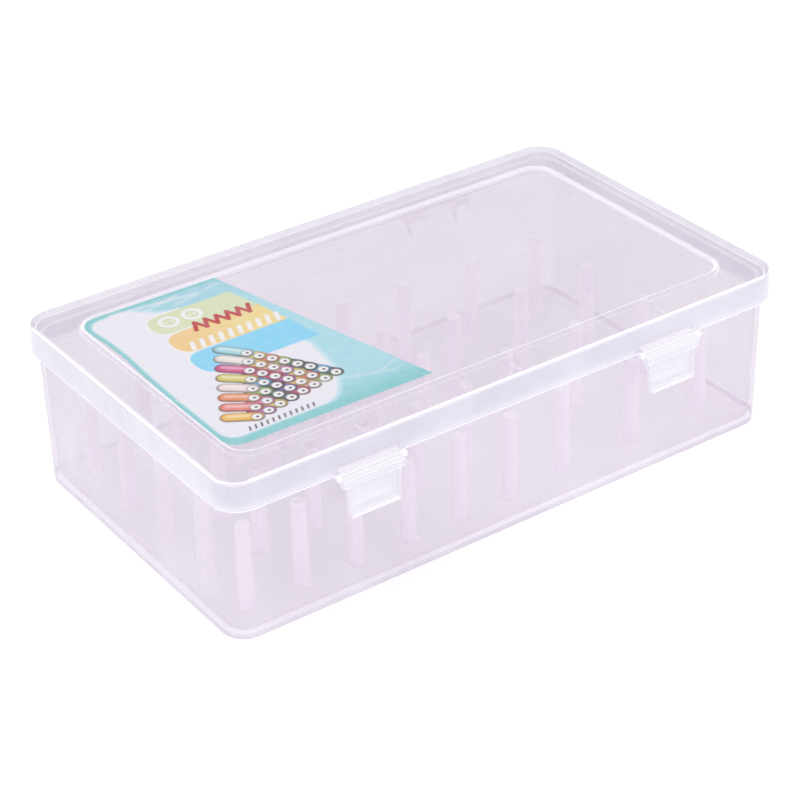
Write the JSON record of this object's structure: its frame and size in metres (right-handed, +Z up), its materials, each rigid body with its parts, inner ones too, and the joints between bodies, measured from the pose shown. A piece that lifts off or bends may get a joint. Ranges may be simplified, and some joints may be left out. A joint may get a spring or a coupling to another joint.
{
  "type": "bobbin box",
  "caption": "Clear hinged box with two front latches and rows of upright posts in two spacings that hold thread spools and bobbins.",
  "frame": {"origin": "centre of the flat underside of the tray", "axes": "+Z up through the lid, +X along the long side towards the wide-set posts, -Y towards the latched front"},
  "size_m": [0.24, 0.1498, 0.065],
  "materials": {
    "clear_plastic": "translucent, slightly hazy, satin to gloss",
    "post_plastic": "milky translucent, satin",
    "latch_plastic": "milky white translucent, satin",
    "label_print": "printed film, satin",
    "pin_plastic": "milky white, satin"
  },
  "bodies": {
    "tray": {"base_tray": "clear_plastic", "left_hinge_pin": "pin_plastic", "right_hinge_pin": "pin_plastic", "spool_post_close_1_1": "post_plastic", "spool_post_close_1_2": "post_plastic", "spool_post_close_1_3": "post_plastic", "spool_post_close_1_4": "post_plastic", "spool_post_close_1_5": "post_plastic", "spool_post_close_2_1": "post_plastic", "spool_post_close_2_2": "post_plastic", "spool_post_close_2_3": "post_plastic", "spool_post_close_2_4": "post_plastic", "spool_post_close_2_5": "post_plastic", "spool_post_close_3_1": "post_plastic", "spool_post_close_3_2": "post_plastic", "spool_post_close_3_3": "post_plastic", "spool_post_close_3_4": "post_plastic", "spool_post_close_3_5": "post_plastic", "spool_post_close_4_1": "post_plastic", "spool_post_close_4_2": "post_plastic", "spool_post_close_4_3": "post_plastic", "spool_post_close_4_4": "post_plastic", "spool_post_close_4_5": "post_plastic", "spool_post_close_5_1": "post_plastic", "spool_post_close_5_2": "post_plastic", "spool_post_close_5_3": "post_plastic", "spool_post_close_5_4": "post_plastic", "spool_post_close_5_5": "post_plastic", "spool_post_close_6_1": "post_plastic", "spool_post_close_6_2": "post_plastic", "spool_post_close_6_3": "post_plastic", "spool_post_close_6_4": "post_plastic", "spool_post_close_6_5": "post_plastic", "spool_post_wide_1_1": "post_plastic", "spool_post_wide_1_2": "post_plastic", "spool_post_wide_1_3": "post_plastic", "spool_post_wide_1_4": "post_plastic", "spool_post_wide_2_1": "post_plastic", "spool_post_wide_2_2": "post_plastic", "spool_post_wide_2_3": "post_plastic", "spool_post_wide_2_4": "post_plastic", "spool_post_wide_3_1": "post_plastic", "spool_post_wide_3_2": "post_plastic", "spool_post_wide_3_3": "post_plastic", "spool_post_wide_3_4": "post_plastic"},
    "lid": {"lid": "clear_plastic", "label": "label_print"},
    "left_latch": {"left_latch": "latch_plastic"},
    "right_latch": {"right_latch": "latch_plastic"}
  },
  "joints": [
    {"name": "lid_hinge", "type": "hinge", "parent": "tray", "child": "lid", "pos_m": [0, 0.073, 0.052], "axis": [-1, 0, 0], "range_deg": [0, 180]},
    {"name": "left_latch_pivot", "type": "hinge", "parent": "lid", "child": "left_latch", "pos_m": [-0.065, -0.0712, 0.0534], "axis": [-1, 0, 0], "range_deg": [0, 150]},
    {"name": "right_latch_pivot", "type": "hinge", "parent": "lid", "child": "right_latch", "pos_m": [0.065, -0.0712, 0.0534], "axis": [-1, 0, 0], "range_deg": [0, 150]}
  ]
}
